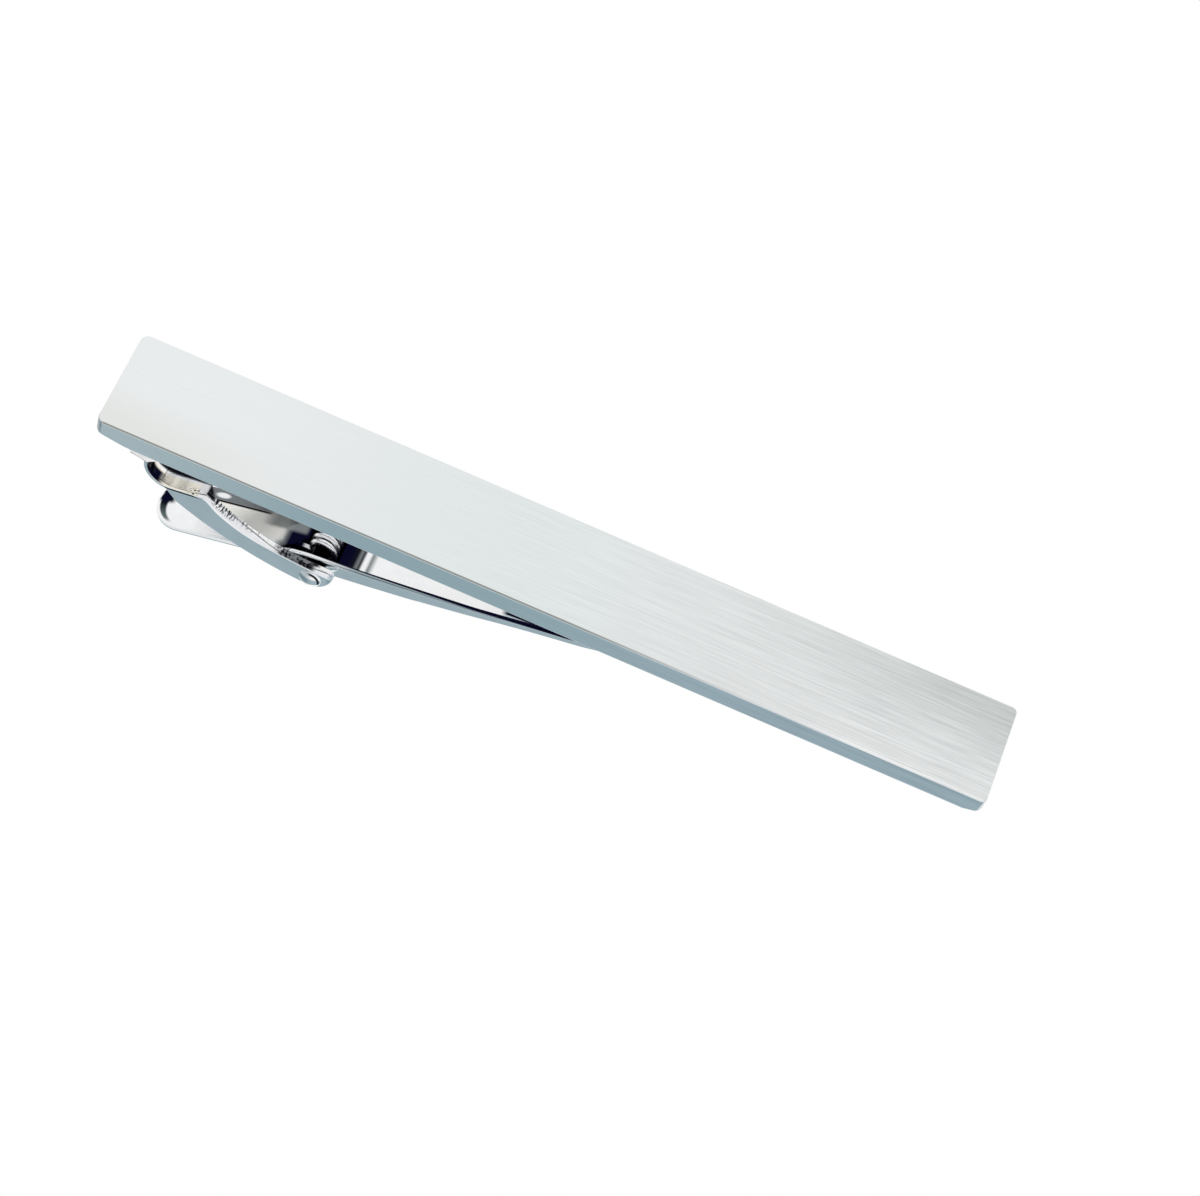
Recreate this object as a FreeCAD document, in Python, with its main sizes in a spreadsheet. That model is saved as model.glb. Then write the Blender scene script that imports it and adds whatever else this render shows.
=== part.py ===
import FreeCAD, Part
import math
import os
import re

import Sketcher
from FreeCAD import Vector

# Sprung tie clip: a flat front bar, a folded bracket brazed to its back, and a
# channel-shaped lever that a wire spring turns about a riveted pin.
# Frame: +X along the bar, +Y across it, +Z out of its front face.
# The origin is the middle of the front face.

# A reach is measured along X from the bar's left end.
# A depth is measured from the bar's back face towards the shirt.
SIZES = [
    ("bar_length", 58.0),
    ("bar_width", 7.2),
    ("bar_thickness", 1.6),
    ("bar_corner", 0.4),
    ("bar_front_edge", 0.16),
    ("bar_back_edge", 0.3),
    ("bracket_width", 5.7),
    ("strap_sheet", 0.4),
    ("arm_sheet", 0.6),
    ("bend_reach", 3.15),
    ("bend_radius", 1.83),
    ("web_tilt", 11.0),
    ("foot_reach", 9.4),
    ("fork_reach", 7.4),
    ("cheek_reach", 4.75),
    ("arm_start_reach", 5.65),
    ("arm_start_depth", 4.5),
    ("arm_upper_radius", 13.0),
    ("arm_lower_radius", 22.0),
    ("ear_low_reach", 14.7),
    ("ear_low_depth", 7.33),
    ("ear_end_reach", 16.28),
    ("ear_end_depth", 6.0),
    ("ear_top_reach", 15.75),
    ("ear_top_depth", 5.6),
    ("ear_neck_reach", 14.45),
    ("ear_lower_radius", 1.6),
    ("ear_upper_radius", 0.5),
    ("pin_reach", 14.93),
    ("pin_depth", 6.55),
    ("pin_diameter", 1.0),
    ("pin_head_diameter", 1.5),
    ("pin_head_height", 0.28),
    ("pin_head_rim", 0.03),
    ("bracket_hole_clearance", 0.01),
    ("lever_hole_clearance", 0.04),
    ("lever_width", 3.9),
    ("lever_sheet", 0.35),
    ("pad_reach", 3.9),
    ("pad_depth", 9.75),
    ("heel_reach", 13.3),
    ("heel_depth", 7.08),
    ("throat_reach", 16.3),
    ("throat_depth", 6.62),
    ("tip_bend_reach", 42.6),
    ("tip_reach", 45.0),
    ("tip_width", 2.8),
    ("tip_gap", 0.06),
    ("flange_heel_reach", 11.9),
    ("flange_rise_reach", 12.9),
    ("flange_rise_depth", 5.95),
    ("flange_ear_reach", 14.4),
    ("flange_ear_depth", 5.2),
    ("flange_throat_depth", 5.28),
    ("flange_end_reach", 32.0),
    ("trough_clearance", 0.06),
    ("spring_wire", 0.4),
    ("spring_clearance", 0.08),
    ("spring_gap", 0.03),
    ("spring_web_reach", 6.6),
    ("spring_heel_reach", 13.2),
    ("spring_seat_clearance", 0.03),
    ("spring_leave_angle", 190.0),
    ("braze_reach", 1.75),
    ("braze_toe_reach", 2.15),
    ("braze_toe_depth", 0.44),
    ("braze_height", 0.72),
    ("braze_spread", 0.45),
    ("overrun", 2.0),
]
SPRING_WHOLE_TURNS = 2
FLAT_SHARE = 0.001

doc = FreeCAD.newDocument("tie_clip")
sheet = doc.addObject("Spreadsheet::Sheet", "Sizes")
for row, (alias, value) in enumerate(SIZES, 1):
    sheet.set(f"A{row}", alias)
    sheet.set(f"B{row}", str(value))
    sheet.setAlias(f"B{row}", alias)
doc.recompute()

WORD = re.compile(r"\b(?!(?:sin|cos|tan|sqrt|deg)\b)[a-z][a-z_]+\b")


def cells(text):
    """An expression on the sheet's cells, from one written with bare aliases."""
    return WORD.sub(lambda word: f"Sizes.{word.group(0)}", text)


def size(text):
    """The present value of an expression, as a plain number in millimetres."""
    value = sheet.evalExpression(text)
    return float(getattr(value, "Value", value))


def at(reach, depth):
    """X and Z expressions of a point given by its reach and depth."""
    return f"{reach} - bar_length / 2", f"-bar_thickness - ({depth})"


def new_body(label):
    body = doc.addObject("PartDesign::Body", label)
    body.Label = label
    return body


def new_sketch(body, name, role):
    sketch = body.newObject("Sketcher::SketchObject", name)
    plane = [item for item in body.Origin.OriginFeatures if item.Role == role][0]
    sketch.AttachmentSupport = [(plane, "")]
    sketch.MapMode = "FlatFace"
    return sketch


def pin_point(sketch, edge, end, x, y):
    """Hold one end of a sketch edge at two sheet expressions."""
    for kind, text in (("DistanceX", x), ("DistanceY", y)):
        index = sketch.addConstraint(Sketcher.Constraint(kind, -1, 1, edge, end, size(text)))
        sketch.setExpression(f"Constraints[{index}]", cells(text))


def outline(sketch, corners):
    """A closed outline. A corner is (x, y), or (x, y, radius, side) when the edge
    that leaves it is an arc whose centre lies to the left (1) or right (-1)."""
    first = sketch.GeometryCount
    points = [Vector(size(corner[0]), size(corner[1]), 0) for corner in corners]
    ends = []
    for index, corner in enumerate(corners):
        start, stop = points[index], points[(index + 1) % len(points)]
        if len(corner) == 2:
            sketch.addGeometry(Part.LineSegment(start, stop))
            ends.append((1, 2))
            continue
        radius, side = size(corner[2]), corner[3]
        chord = stop - start
        rise = math.sqrt(max(radius ** 2 - (chord.Length / 2) ** 2, 0))
        left = Vector(-chord.y, chord.x, 0).normalize()
        centre = (start + stop) / 2 + left * rise * side
        angles = [math.atan2(p.y - centre.y, p.x - centre.x) for p in (start, stop)]
        circle = Part.Circle(centre, Vector(0, 0, 1), radius)
        sketch.addGeometry(Part.ArcOfCircle(circle, *angles[::side]))
        ends.append((1, 2)[::side])
    for index, corner in enumerate(corners):
        after = (index + 1) % len(corners)
        sketch.addConstraint(Sketcher.Constraint(
            "Coincident", first + index, ends[index][1], first + after, ends[after][0]))
    for index, corner in enumerate(corners):
        pin_point(sketch, first + index, ends[index][0], corner[0], corner[1])
        if len(corner) == 4:
            held = sketch.addConstraint(
                Sketcher.Constraint("Radius", first + index, size(corner[2])))
            sketch.setExpression(f"Constraints[{held}]", cells(corner[2]))


def disc(sketch, x, y, radius):
    edge = sketch.addGeometry(
        Part.Circle(Vector(size(x), size(y), 0), Vector(0, 0, 1), size(radius)))
    held = sketch.addConstraint(Sketcher.Constraint("Radius", edge, size(radius)))
    sketch.setExpression(f"Constraints[{held}]", cells(radius))
    pin_point(sketch, edge, 3, x, y)


def pad(body, name, sketch, length):
    feature = body.newObject("PartDesign::Pad", name)
    feature.Profile = sketch
    feature.SideType = "Symmetric"
    feature.setExpression("Length", cells(length))
    doc.recompute()
    return feature


def pocket(body, name, sketch, length):
    """A cut to both sides of its sketch, checked to have removed something."""
    before = body.Shape.Volume
    feature = body.newObject("PartDesign::Pocket", name)
    feature.Profile = sketch
    feature.SideType = "Symmetric"
    feature.setExpression("Length", cells(length))
    doc.recompute()
    if not feature.Shape.Volume < before:
        raise RuntimeError(f"{name} cut nothing")
    return feature


def round_edges(body, name, radius, chosen):
    """Fillet the edges of the body's tip that the given test picks."""
    tip = body.Tip
    names = [f"Edge{n}" for n, edge in enumerate(tip.Shape.Edges, 1) if chosen(edge)]
    feature = body.newObject("PartDesign::Fillet", name)
    feature.Base = (tip, names)
    feature.setExpression("Radius", cells(radius))
    doc.recompute()
    return feature


def lies_at_height(edge, height):
    box = edge.BoundBox
    return abs(box.ZMin - height) + abs(box.ZMax - height) < edge.Length * FLAT_SHARE


PIN_X, PIN_Z = at("pin_reach", "pin_depth")

# The front bar is a flat blank with rounded corners and softened edges.
bar = new_body("front_bar")
blank = new_sketch(bar, "BarBlank", "XZ_Plane")
outline(blank, [
    ("-bar_length / 2", "-bar_thickness"),
    ("bar_length / 2", "-bar_thickness"),
    ("bar_length / 2", "0"),
    ("-bar_length / 2", "0"),
])
pad(bar, "BarPad", blank, "bar_width")
round_edges(bar, "BarCorners", "bar_corner",
            lambda edge: edge.BoundBox.ZLength > size("bar_thickness") / 2)
round_edges(bar, "BarFrontEdge", "bar_front_edge", lambda edge: lies_at_height(edge, 0))
round_edges(bar, "BarBackEdge", "bar_back_edge",
            lambda edge: lies_at_height(edge, -size("bar_thickness")))

# The bracket is a strap bent back on itself at the bar's left end. Its lower run
# is the web, and the two arms folded down from the web carry the pin.
bracket = new_body("clasp_bracket")
BEND_REACH = "(bend_reach + bend_radius)"
INNER = "(bend_radius - strap_sheet)"
TILT = "web_tilt * 1 deg"
BEND_END = f"({BEND_REACH} + bend_radius * sin({TILT}))"
BEND_END_INNER = f"{BEND_REACH} + {INNER} * sin({TILT})"
OUTER_END = f"(bend_radius + bend_radius * cos({TILT}))"
INNER_END = f"(bend_radius + {INNER} * cos({TILT}))"
WEB_SKEW = f"strap_sheet / cos({TILT})"
OUTER_FORK = f"{OUTER_END} - (fork_reach - {BEND_END}) * tan({TILT})"
strap = new_sketch(bracket, "Strap", "XZ_Plane")
outline(strap, [
    at("foot_reach", "0"),
    at(BEND_REACH, "0") + ("bend_radius", 1),
    at(f"{BEND_REACH} - bend_radius", "bend_radius") + ("bend_radius", 1),
    at(BEND_END, OUTER_END),
    at("fork_reach", OUTER_FORK),
    at("fork_reach", f"{OUTER_FORK} - {WEB_SKEW}"),
    at(BEND_END_INNER, INNER_END) + (INNER, -1),
    at(f"{BEND_REACH} - {INNER}", "bend_radius") + (INNER, -1),
    at(BEND_REACH, "strap_sheet"),
    at("foot_reach", "strap_sheet"),
])
pad(bracket, "StrapPad", strap, "bracket_width")
arms = new_sketch(bracket, "Arms", "XZ_Plane")
outline(arms, [
    at("cheek_reach", f"{OUTER_END} - strap_sheet / 2"),
    at("arm_start_reach", "arm_start_depth") + ("arm_lower_radius", 1),
    at("ear_low_reach", "ear_low_depth") + ("ear_lower_radius", 1),
    at("ear_end_reach", "ear_end_depth") + ("ear_upper_radius", 1),
    at("ear_top_reach", "ear_top_depth"),
    at("ear_neck_reach", "ear_top_depth") + ("arm_upper_radius", -1),
    at("fork_reach", f"{OUTER_FORK} - {WEB_SKEW}"),
])
pad(bracket, "ArmsPad", arms, "bracket_width")
fork = new_sketch(bracket, "Fork", "XZ_Plane")
outline(fork, [
    at("fork_reach", "strap_sheet"),
    at("fork_reach", OUTER_FORK),
    at(BEND_END, OUTER_END),
    at("cheek_reach", "2 * bend_radius"),
    at("cheek_reach", "ear_low_depth + overrun"),
    at("ear_end_reach + overrun", "ear_low_depth + overrun"),
    at("ear_end_reach + overrun", "strap_sheet"),
])
pocket(bracket, "ForkPocket", fork, "bracket_width - 2 * arm_sheet")
bore = new_sketch(bracket, "BracketBore", "XZ_Plane")
disc(bore, PIN_X, PIN_Z, "pin_diameter / 2 + bracket_hole_clearance")
pocket(bracket, "BracketBorePocket", bore, "bracket_width + overrun")

# The lever is a channel of thin sheet: a flat thumb pad, a half-round trough
# under the pin, and an arm whose side flanges taper out towards the tip.
lever = new_body("clip_lever")
SLOPE_HEEL = "(pad_depth - heel_depth) / (heel_reach - pad_reach)"
TIP_DEPTH = "(tip_gap + lever_sheet)"
ARM_SLOPE = f"((throat_depth - {TIP_DEPTH}) / (tip_bend_reach - throat_reach))"
HEEL_SKEW = f"lever_sheet * sqrt(1 + ({SLOPE_HEEL}) ^ 2)"
ARM_SKEW = f"lever_sheet * sqrt(1 + {ARM_SLOPE} ^ 2)"
FLANGE_END = f"{TIP_DEPTH} + {ARM_SLOPE} * (tip_bend_reach - flange_end_reach) - {ARM_SKEW}"
HEEL_TOP = f"heel_depth + {SLOPE_HEEL} * (heel_reach - flange_heel_reach) - {HEEL_SKEW}"
side = new_sketch(lever, "LeverSide", "XZ_Plane")
outline(side, [
    at("pad_reach", "pad_depth"),
    at("heel_reach", "heel_depth"),
    at("throat_reach", "throat_depth"),
    at("tip_bend_reach", TIP_DEPTH),
    at("tip_reach", TIP_DEPTH),
    at("tip_reach", "tip_gap"),
    at("tip_bend_reach", "tip_gap"),
    at("flange_end_reach", FLANGE_END),
    at("throat_reach", "flange_throat_depth"),
    at("flange_ear_reach", "flange_ear_depth"),
    at("flange_rise_reach", "flange_rise_depth"),
    at("flange_heel_reach", HEEL_TOP),
    at("pad_reach", f"pad_depth - {HEEL_SKEW}"),
])
pad(lever, "LeverPad", side, "lever_width")
COIL_RADIUS = "(pin_diameter / 2 + spring_clearance + spring_wire)"
TROUGH = f"({COIL_RADIUS} + trough_clearance)"
barrel = new_sketch(lever, "Barrel", "XZ_Plane")
disc(barrel, PIN_X, PIN_Z, f"{TROUGH} + lever_sheet")
pad(lever, "BarrelPad", barrel, "lever_width")
CHANNEL = "lever_width - 2 * lever_sheet"
channel = new_sketch(lever, "Channel", "XZ_Plane")
outline(channel, [
    at("flange_heel_reach", HEEL_TOP),
    at("heel_reach", f"heel_depth - {HEEL_SKEW}"),
    at("throat_reach", f"throat_depth - {ARM_SKEW}"),
    at("flange_end_reach", FLANGE_END),
    at("flange_end_reach", "0"),
    at("flange_heel_reach", "0"),
])
pocket(lever, "ChannelPocket", channel, CHANNEL)
trough = new_sketch(lever, "Trough", "XZ_Plane")
disc(trough, PIN_X, PIN_Z, TROUGH)
pocket(lever, "TroughPocket", trough, CHANNEL)
lever_bore = new_sketch(lever, "LeverBore", "XZ_Plane")
disc(lever_bore, PIN_X, PIN_Z, "pin_diameter / 2 + lever_hole_clearance")
pocket(lever, "LeverBorePocket", lever_bore, "lever_width + overrun")
plan = new_sketch(lever, "LeverPlan", "XY_Plane")
PAD_CENTRE = "pad_reach + lever_width / 2 - bar_length / 2"
TIP_CENTRE = "tip_reach - tip_width / 2 - bar_length / 2"
TAPER_START = "flange_end_reach - bar_length / 2"
outline(plan, [
    (PAD_CENTRE, "lever_width / 2", "lever_width / 2", 1),
    ("pad_reach - bar_length / 2", "0", "lever_width / 2", 1),
    (PAD_CENTRE, "-lever_width / 2"),
    (TAPER_START, "-lever_width / 2"),
    (TIP_CENTRE, "-tip_width / 2", "tip_width / 2", 1),
    ("tip_reach - bar_length / 2", "0", "tip_width / 2", 1),
    (TIP_CENTRE, "tip_width / 2"),
    (TAPER_START, "lever_width / 2"),
])
outline(plan, [
    ("-bar_length / 2 - overrun", "-lever_width"),
    ("bar_length / 2 + overrun", "-lever_width"),
    ("bar_length / 2 + overrun", "lever_width"),
    ("-bar_length / 2 - overrun", "lever_width"),
])
pocket(lever, "LeverPlanPocket", plan, "2 * (bar_thickness + pad_depth + overrun)")

# The pin is a rivet with a low domed head upset on each end.
pin = new_body("hinge_pin")
GRIP = "bracket_width / 2"
DOME = "(pin_head_height - pin_head_rim)"
DOME_RADIUS = f"((pin_head_diameter ^ 2 / 4 + {DOME} ^ 2) / (2 * {DOME}))"
section = new_sketch(pin, "PinSection", "XY_Plane")
outline(section, [
    ("0", f"-{GRIP} - pin_head_height", DOME_RADIUS, 1),
    ("pin_head_diameter / 2", f"-{GRIP} - pin_head_rim"),
    ("pin_head_diameter / 2", f"-{GRIP}"),
    ("pin_diameter / 2", f"-{GRIP}"),
    ("pin_diameter / 2", GRIP),
    ("pin_head_diameter / 2", GRIP),
    ("pin_head_diameter / 2", f"{GRIP} + pin_head_rim", DOME_RADIUS, 1),
    ("0", f"{GRIP} + pin_head_height"),
])
revolved = pin.newObject("PartDesign::Revolution", "PinRevolution")
revolved.Profile = section
revolved.ReferenceAxis = (section, ["V_Axis"])
pin.setExpression("Placement.Base.x", cells(PIN_X))
pin.setExpression("Placement.Base.z", cells(PIN_Z))

# The braze is the metal drawn into the crevice between the bend and the bar, with
# a thin fillet along the foot's sides.
braze_blank = new_body("BrazeBlank")
wedge = new_sketch(braze_blank, "BrazeWedge", "XZ_Plane")
outline(wedge, [
    at("braze_reach", "0"),
    at("foot_reach + braze_spread", "0"),
    at("foot_reach", "strap_sheet / 2"),
    at(BEND_REACH, "strap_sheet / 2"),
    at("bend_reach + strap_sheet", "braze_height"),
    at("braze_toe_reach", "braze_toe_depth"),
])
pad(braze_blank, "BrazePad", wedge, "bracket_width + 2 * braze_spread")
doc.recompute()
braze = doc.addObject("Part::Cut", "braze_seam")
braze.Label = "braze_seam"
braze.Base = braze_blank
braze.Tool = bracket
doc.recompute()

# The spring is one wire: a leg under the bracket's web, a close coil round the
# pin, and a leg that leaves the coil with a knee and lies on the lever's heel.
# It is wound from -Y to +Y and then mirrored, so that the web leg is at the far end.
WIRE = size("spring_wire")
COIL = size(f"{COIL_RADIUS} - spring_wire / 2")
PITCH = size("spring_wire + spring_gap")
UP = Vector(0, 0, 1)
ACROSS = Vector(0, 1, 0)


def ring(centre, along):
    return Part.Wire(Part.makeCircle(WIRE / 2, centre, along))


def round_bar(start, stop):
    run = stop - start
    return Part.makeCylinder(WIRE / 2, run.Length, start, run)


def from_pin(place):
    """A point's place from the pin's axis, from its X and Z expressions."""
    return Vector(size(f"{place[0]} - ({PIN_X})"), 0, size(f"{place[1]} - ({PIN_Z})"))


def turned(vector, degrees):
    """The vector turned about the pin's axis, anticlockwise seen from -Y."""
    return FreeCAD.Rotation(ACROSS, -degrees).multVec(vector)


WEB_SEAT = f"{OUTER_FORK} + (fork_reach - spring_web_reach) * tan({TILT})"
HALF_WIRE = "(spring_wire / 2 + spring_seat_clearance)"
web_end = from_pin(at("spring_web_reach", f"{WEB_SEAT} + {HALF_WIRE} / cos({TILT})"))
start_angle = math.degrees(math.atan2(web_end.z, web_end.x) - math.acos(COIL / web_end.Length))
stop_angle = size("spring_leave_angle")
sweep = SPRING_WHOLE_TURNS * 360 + start_angle + 360 - stop_angle
half_coil = ACROSS * (PITCH * sweep / 360 / 2)
helix = Part.makeHelix(PITCH, 2 * half_coil.Length, COIL)
helix.rotate(Vector(0, 0, 0), Vector(1, 0, 0), -90)
coil = Part.Wire(helix.Edges).makePipeShell([ring(Vector(COIL, 0, 0), UP)], True, True)
coil.rotate(Vector(0, 0, 0), ACROSS, -start_angle)
coil.translate(-half_coil)

heel_slope = size(SLOPE_HEEL)
HEEL_SEAT = f"heel_depth + {SLOPE_HEEL} * (heel_reach - spring_heel_reach) - {HEEL_SKEW}"
HEEL_LIFT = f"{HALF_WIRE} * sqrt(1 + ({SLOPE_HEEL}) ^ 2)"
heel_end = from_pin(at("spring_heel_reach", f"{HEEL_SEAT} - {HEEL_LIFT}"))
leave = turned(Vector(1, 0, 0), stop_angle)
knee_turn = 270 + math.degrees(math.atan(heel_slope)) - stop_angle
knee_start = leave * COIL
knee_run = leave - turned(leave, knee_turn)
knee_radius = (heel_end.z - knee_start.z - (heel_end.x - knee_start.x) * heel_slope) / (
    knee_run.z - knee_run.x * heel_slope)
knee_centre = knee_start + leave * knee_radius
knee_stop = knee_start + knee_run * knee_radius
knee = Part.Face(ring(knee_start, turned(leave, 90))).revolve(knee_centre, ACROSS, -knee_turn)
heel_leg = round_bar(knee_stop, heel_end)
for piece in (knee, heel_leg):
    piece.translate(half_coil)
web_start = turned(Vector(COIL, 0, 0), start_angle)
web_leg = round_bar(web_end, web_start)
web_leg.translate(-half_coil)
joint = Part.makeSphere(WIRE / 2, web_start - half_coil)
wound = coil.multiFuse([joint, web_leg, knee, heel_leg])
spring = doc.addObject("Part::Feature", "torsion_spring")
spring.Label = "torsion_spring"
spring.Shape = wound.mirror(Vector(0, 0, 0), ACROSS).Solids[0]
spring.setExpression("Placement.Base.x", cells(PIN_X))
spring.setExpression("Placement.Base.z", cells(PIN_Z))

doc.recompute()
PARTS = [bar, braze, bracket, pin, spring, lever]
for item in doc.Objects:
    if {"Invalid", "Error"} & set(item.State):
        raise RuntimeError(f"{item.Label}: {item.State}")
for item in PARTS:
    if item.Shape.isNull() or not item.Shape.isValid() or len(item.Shape.Solids) != 1:
        raise RuntimeError(f"{item.Label} is not one sound solid")
os.makedirs("parts", exist_ok=True)
for item in PARTS:
    item.Shape.exportStep(f"parts/{item.Label}.step")
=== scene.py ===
import math

import bmesh
import bpy
from mathutils import Matrix, Vector


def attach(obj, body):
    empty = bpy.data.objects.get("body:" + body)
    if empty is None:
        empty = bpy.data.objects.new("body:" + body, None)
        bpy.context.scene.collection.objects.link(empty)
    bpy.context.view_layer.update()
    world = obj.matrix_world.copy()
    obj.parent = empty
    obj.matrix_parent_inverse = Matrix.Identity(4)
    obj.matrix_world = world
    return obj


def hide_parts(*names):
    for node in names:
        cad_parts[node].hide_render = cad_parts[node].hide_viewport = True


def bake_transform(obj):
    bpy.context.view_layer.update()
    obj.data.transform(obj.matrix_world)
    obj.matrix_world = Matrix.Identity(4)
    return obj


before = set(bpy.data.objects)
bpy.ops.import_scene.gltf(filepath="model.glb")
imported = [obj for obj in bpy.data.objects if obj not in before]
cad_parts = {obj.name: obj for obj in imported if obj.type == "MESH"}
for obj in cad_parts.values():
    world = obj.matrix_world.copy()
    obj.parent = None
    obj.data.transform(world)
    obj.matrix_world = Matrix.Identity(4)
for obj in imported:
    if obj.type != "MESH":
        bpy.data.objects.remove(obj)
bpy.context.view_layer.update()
scene = bpy.context.scene
scene.view_settings.view_transform = "Standard"

# The camera stands in front of the clip and above it, turned so that the bar
# falls away to the lower right. Its place and lens come from the bar's corners.
CAMERA_PLACE = Vector((0.004066, -0.120307, 0.180376))
CAMERA_RIGHT = Vector((0.9185, 0.3324, 0.2140))
CAMERA_DOWN = Vector((0.3953, -0.7651, -0.5083))
SENSOR_WIDTH, FOCAL_LENGTH, NEAREST = 36.0, 107.76, 0.001
lens = bpy.data.cameras.new("camera")
lens.sensor_fit = "HORIZONTAL"
lens.sensor_width = SENSOR_WIDTH
lens.lens = FOCAL_LENGTH
lens.clip_start = NEAREST
camera = bpy.data.objects.new("camera", lens)
right = CAMERA_RIGHT.normalized()
up = -(CAMERA_DOWN - right * CAMERA_DOWN.dot(right)).normalized()
camera.matrix_world = Matrix.Translation(CAMERA_PLACE) @ Matrix(
    (right, up, right.cross(up))).transposed().to_4x4()
scene.collection.objects.link(camera)
scene.camera = camera

# The studio is a pale room: bright overhead and behind, a little dimmer behind the
# camera, and blue-grey below the front. A pale floor lies well below the clip.
WHITE, FLOOR_PAINT = (1.0, 1.0, 1.0, 1.0), (0.85, 0.85, 0.85, 1.0)
ROOM_ABOVE = (0.9, 0.915, 0.915)
ROOM_BELOW = (0.345, 0.44, 0.485)
ROOM_FRONT = (0.8, 0.81, 0.83)
BELOW_EDGE = (-0.62, -0.44)
FRONT_SIDE, FRONT_HEIGHT = (-0.1, -0.4), (-0.3, -0.1, 0.72, 0.9)
FLOOR_DROP = 0.2
FLOOR_NEAR, FLOOR_FAR, FLOOR_HALF = -0.03, 0.5, 0.35


def add_node(tree, kind, links=None, values=None, **settings):
    """A new node with its settings, socket values and incoming links."""
    node = tree.nodes.new(kind)
    for key, value in settings.items():
        setattr(node, key, value)
    for key, value in (values or {}).items():
        node.inputs[key].default_value = value
    for key, source in (links or {}).items():
        tree.links.new(source, node.inputs[key])
    return node


def step_up(tree, source, low, high):
    """0 below low and 1 above high, with a smooth rise between them."""
    node = add_node(tree, "ShaderNodeMapRange", {"Value": source},
                    {"From Min": low, "From Max": high}, interpolation_type="SMOOTHSTEP")
    return node.outputs["Result"]


def times(tree, *sources):
    """The product of several values."""
    product = sources[0]
    for source in sources[1:]:
        product = add_node(tree, "ShaderNodeMath", {0: product, 1: source},
                           operation="MULTIPLY").outputs[0]
    return product


def zone(tree, where, **ends):
    """A mask over one place. Each measure named rises between two ends, and one with
    four ends falls again between the last two."""
    masks = []
    for measure, (low, high, *fall) in ends.items():
        masks.append(step_up(tree, where[measure], low, high))
        if fall:
            masks.append(step_up(tree, where[measure], *fall[::-1]))
    return times(tree, *masks)


def mixed(tree, share, first, second):
    """One colour going over to another. Each is a socket or a plain colour."""
    node = add_node(tree, "ShaderNodeMix", {"Factor": share}, data_type="RGBA")
    for socket, colour in ((node.inputs["A"], first), (node.inputs["B"], second)):
        if isinstance(colour, tuple):
            socket.default_value = colour + (1.0,)
        else:
            tree.links.new(colour, socket)
    return node.outputs["Result"]


world = bpy.data.worlds.new("studio")
scene.world = world
world.use_nodes = True
room = world.node_tree
room.nodes.clear()
heading = add_node(room, "ShaderNodeTexCoord").outputs["Generated"]
heading = add_node(room, "ShaderNodeSeparateXYZ", {0: heading}).outputs
room_colour = mixed(room, zone(room, heading, Z=BELOW_EDGE), ROOM_BELOW, ROOM_ABOVE)
front = zone(room, heading, Y=FRONT_SIDE, Z=FRONT_HEIGHT)
room_colour = mixed(room, front, room_colour, ROOM_FRONT)
lit_room = add_node(room, "ShaderNodeBackground", {"Color": room_colour})
white_room = add_node(room, "ShaderNodeBackground", values={"Color": WHITE})
ray = add_node(room, "ShaderNodeLightPath").outputs
seen = add_node(room, "ShaderNodeMixShader", {
    "Fac": ray["Is Camera Ray"], 1: lit_room.outputs[0], 2: white_room.outputs[0]})
add_node(room, "ShaderNodeOutputWorld", {"Surface": seen.outputs[0]})

floor_mesh = bpy.data.meshes.new("floor")
floor_mesh.from_pydata([
    (-FLOOR_HALF, FLOOR_NEAR, -FLOOR_DROP), (FLOOR_HALF, FLOOR_NEAR, -FLOOR_DROP),
    (FLOOR_HALF, FLOOR_FAR, -FLOOR_DROP), (-FLOOR_HALF, FLOOR_FAR, -FLOOR_DROP),
], [], [(0, 1, 2, 3)])
floor = bpy.data.objects.new("floor", floor_mesh)
scene.collection.objects.link(floor)
pale = bpy.data.materials.new("pale_floor")
pale.use_nodes = True
paint = pale.node_tree
paint.nodes.clear()
matt = add_node(paint, "ShaderNodeBsdfDiffuse", values={"Color": FLOOR_PAINT})
glow = add_node(paint, "ShaderNodeEmission", values={"Color": WHITE})
ray = add_node(paint, "ShaderNodeLightPath").outputs
shown = ray["Is Camera Ray"]
for other in ("Is Glossy Ray", "Is Transmission Ray"):
    shown = add_node(paint, "ShaderNodeMath", {0: shown, 1: ray[other]},
                     operation="MAXIMUM").outputs[0]
blended = add_node(paint, "ShaderNodeMixShader", {
    "Fac": shown, 1: matt.outputs[0], 2: glow.outputs[0]})
add_node(paint, "ShaderNodeOutputMaterial", {"Surface": blended.outputs[0]})
floor_mesh.materials.append(pale)

# The front bar is a flat blank of plated metal with rounded corners and softened
# edges. Its face is brushed along its length.
MM = 0.001
MERGE = 1e-8
BAR_LENGTH, BAR_WIDTH, BAR_THICKNESS = 58.0, 7.2, 1.6
BAR_FRONT_EDGE, BAR_BACK_EDGE, BAR_BACK_CORNER = 0.16, 0.05, 0.5
HINGE_CORNER, HINGE_SOFT_END = 0.55, 2.4
TIP_CORNER, TIP_SOFT_END = 0.36, 0.9
BAR_CORNER_STEPS, BAR_SIDE_STEPS, ROLL_STEPS = 18, 80, 8
LEAST_MITRE, FLAT_WEIGHT = 0.3, 100
BAR_PALE_REFLECTION = (0.91, 0.92, 0.925)
BAR_COOL = (0.84, 0.87, 0.87)
BAR_WARM_REFLECTION = (0.855, 0.855, 0.83)
BAR_TIP = (0.835, 0.845, 0.842)
BAR_DIM_SHADE = (0.62, 0.645, 0.64)
BAR_EDGE_SHADE = (0.33, 0.35, 0.34)
SIDE_PALE = (1.0, 1.0, 0.98)
SIDE_DEEP = (0.75, 0.825, 0.84)
SIDE_BLUE = (0.82, 0.87, 0.89)
BAR_CORNER_SHADE = (0.34, 0.4, 0.43)
BAR_RIM_HIGHLIGHT = (1.0, 1.0, 1.0)
BAR_BACK = (0.97, 0.97, 0.97)
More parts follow.
